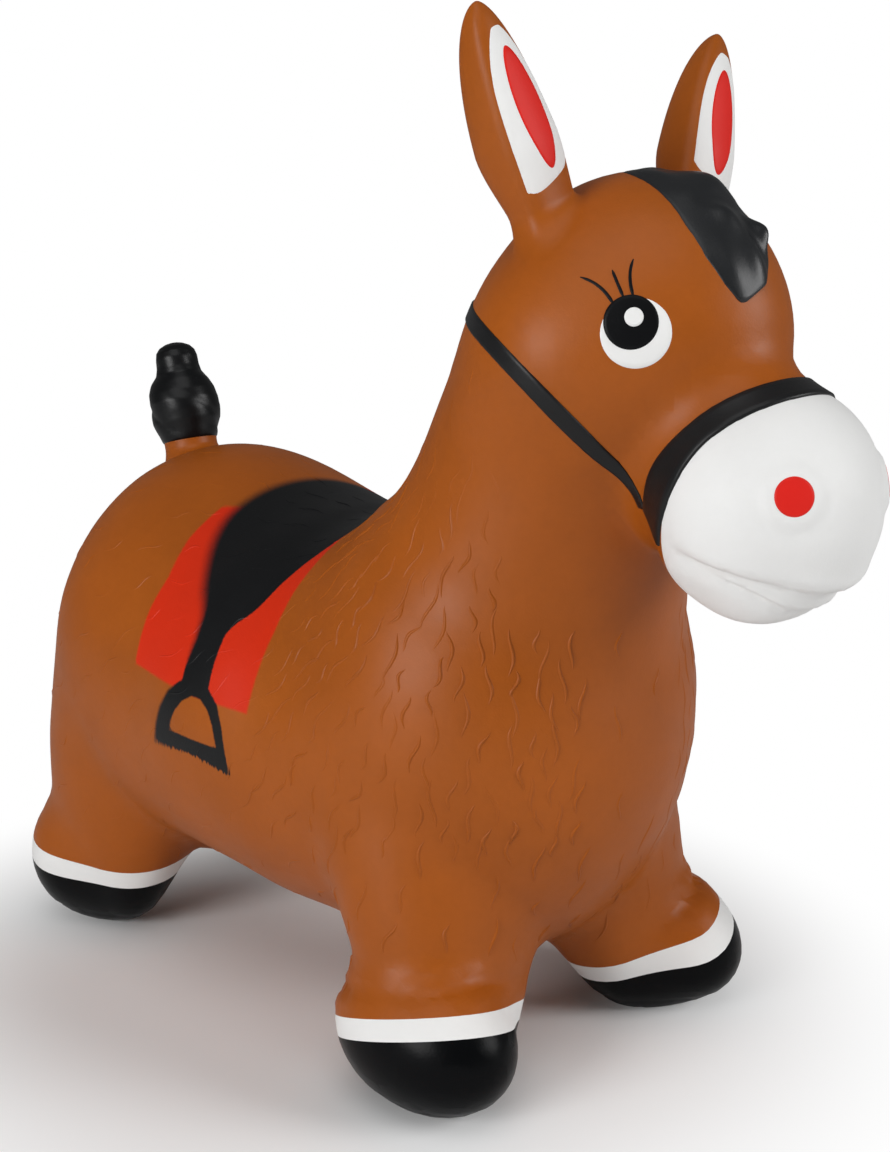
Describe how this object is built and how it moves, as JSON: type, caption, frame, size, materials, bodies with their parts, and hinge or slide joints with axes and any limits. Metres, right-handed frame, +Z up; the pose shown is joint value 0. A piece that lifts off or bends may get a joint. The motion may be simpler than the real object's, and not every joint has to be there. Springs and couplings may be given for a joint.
{
  "type": "animal hopper",
  "caption": "Inflatable ride-on horse hopper: hollow PVC body on splayed legs, ears to hold, raised halter, knotted tail, black hooves, and an air valve with a pull-out plug under the belly.",
  "frame": {"origin": "on the floor below the middle of the object's box", "axes": "+X towards the nose, +Y to the horse's left, +Z up"},
  "size_m": [0.5626, 0.2614, 0.5327],
  "materials": {
    "brown_skin": "satin inflated PVC with embossed hair strokes",
    "brown_ear": "satin inflated PVC, painted white and red inside",
    "white_muzzle": "satin painted PVC",
    "black_halter": "glossy black paint",
    "black_hair": "glossy black paint on moulded locks",
    "black_hoof": "glossy black paint",
    "white_band": "satin white paint",
    "valve_white": "milky soft PVC"
  },
  "bodies": {
    "body": {"body_skin": "brown_skin", "muzzle": "white_muzzle", "noseband": "black_halter", "cheek_strap_left": "black_halter", "cheek_strap_right": "black_halter", "forelock": "black_hair", "mane": "black_hair", "hoof_front_left": "black_hoof", "hoof_front_right": "black_hoof", "hoof_rear_left": "black_hoof", "hoof_rear_right": "black_hoof", "hoof_band_front_left": "white_band", "hoof_band_front_right": "white_band", "hoof_band_rear_left": "white_band", "hoof_band_rear_right": "white_band", "valve_seat": "valve_white"},
    "left_ear": {"ear_left": "brown_ear"},
    "right_ear": {"ear_right": "brown_ear"},
    "tail_knot": {"tail": "black_hair"},
    "plug": {"valve_plug": "valve_white"}
  },
  "joints": [
    {"name": "ear_left_flex", "type": "hinge", "parent": "body", "child": "left_ear", "pos_m": [0.143, 0.0514, 0.4381], "axis": [0.066, 0.9413, -0.3311], "range_deg": [-20, 20], "stiffness_Nm_per_rad": 0.6},
    {"name": "ear_right_flex", "type": "hinge", "parent": "body", "child": "right_ear", "pos_m": [0.143, -0.0514, 0.4381], "axis": [-0.066, 0.9413, 0.3311], "range_deg": [-20, 20], "stiffness_Nm_per_rad": 0.6},
    {"name": "tail_flex", "type": "hinge", "parent": "body", "child": "tail_knot", "pos_m": [-0.2227, 0, 0.2911], "axis": [0, 1, 0], "range_deg": [-15, 15], "stiffness_Nm_per_rad": 0.5},
    {"name": "valve_plug_pull", "type": "slide", "parent": "body", "child": "plug", "axis": [0, 0, -1], "range_m": [0, 0.025]}
  ]
}
